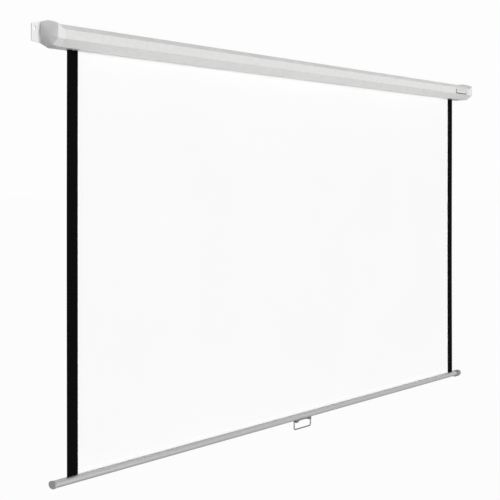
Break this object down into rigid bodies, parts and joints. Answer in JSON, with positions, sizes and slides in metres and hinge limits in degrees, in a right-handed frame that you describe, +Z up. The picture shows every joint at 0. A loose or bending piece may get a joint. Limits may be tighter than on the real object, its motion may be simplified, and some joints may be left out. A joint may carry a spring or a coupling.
{
  "type": "pull-down projector screen",
  "caption": "Wall-hung spring-roller projector screen, pulled down: long faceted case, white sheet with black side borders, oval weight bar and a wire pull.",
  "frame": {"origin": "on the wall plane, at the middle of the case's flat back", "axes": "+X along the screen to the viewer's right, +Y into the wall, +Z up"},
  "size_m": [2.517, 0.0834, 1.391],
  "materials": {
    "case_paint": "white powder coat, satin",
    "cap_plastic": "white moulded plastic, fine texture",
    "bracket_steel": "zinc plated",
    "screw_zinc": "zinc plated",
    "lock_steel": "plain steel, oiled",
    "spring_steel": "spring wire, oiled",
    "acetal": "natural acetal",
    "screen_white": "matt white coated cloth",
    "border_black": "matt black coating",
    "bar_aluminium": "satin anodised",
    "bar_cap_plastic": "grey moulded plastic",
    "handle_plastic": "dark grey moulded plastic",
    "bail_wire": "plated wire"
  },
  "bodies": {
    "case": {"case_housing": "case_paint", "end_cap_left": "cap_plastic", "end_cap_right": "cap_plastic", "idle_bracket": "bracket_steel", "spring_bracket": "bracket_steel", "case_screw_1": "screw_zinc", "case_screw_2": "screw_zinc", "case_screw_3": "screw_zinc", "case_screw_4": "screw_zinc", "spring_arbor": "bracket_steel", "idle_bush": "acetal", "ratchet_disc": "lock_steel", "torsion_spring": "spring_steel", "fixed_anchor": "acetal", "screen_fabric": "screen_white", "border_left": "border_black", "border_right": "border_black"},
    "roller": {"roller_tube": "bracket_steel", "fabric_wrap": "screen_white", "idle_plug": "acetal", "idle_pin": "bracket_steel", "pawl_carrier": "acetal", "pawl_pin_upper": "screw_zinc", "pawl_pin_lower": "screw_zinc", "turning_anchor": "acetal"},
    "pawl_upper": {"pawl_upper": "lock_steel"},
    "pawl_lower": {"pawl_lower": "lock_steel"},
    "bar": {"bottom_bar": "bar_aluminium", "bar_cap_left": "bar_cap_plastic", "bar_cap_right": "bar_cap_plastic", "hem_rod": "bracket_steel", "handle_base": "handle_plastic", "base_screw_1": "screw_zinc", "base_screw_2": "screw_zinc"},
    "bail": {"handle_bail": "bail_wire"}
  },
  "joints": [
    {"name": "screen_drop", "type": "slide", "parent": "case", "child": "bar", "axis": [0, 0, 1], "range_m": [0, 1.25], "deforming": ["screen_fabric", "border_left", "border_right"]},
    {"name": "roller_turn", "type": "hinge", "parent": "case", "child": "roller", "pos_m": [0, -0.0417, 0], "axis": [1, 0, 0], "range_deg": [0, 3600]},
    {"name": "pawl_upper_swing", "type": "hinge", "parent": "roller", "child": "pawl_upper", "pos_m": [1.1546, -0.0417, 0.0115], "axis": [1, 0, 0], "range_deg": [0, 38]},
    {"name": "pawl_lower_swing", "type": "hinge", "parent": "roller", "child": "pawl_lower", "pos_m": [1.1546, -0.0417, -0.0115], "axis": [1, 0, 0], "range_deg": [0, 38]},
    {"name": "bail_swing", "type": "hinge", "parent": "bar", "child": "bail", "pos_m": [0, -0.023, -1.315], "axis": [1, 0, 0], "range_deg": [-90, 90]}
  ],
  "couplings": [
    {"joint": "roller_turn", "follows": "screen_drop", "rad_per_m": 50.26}
  ]
}
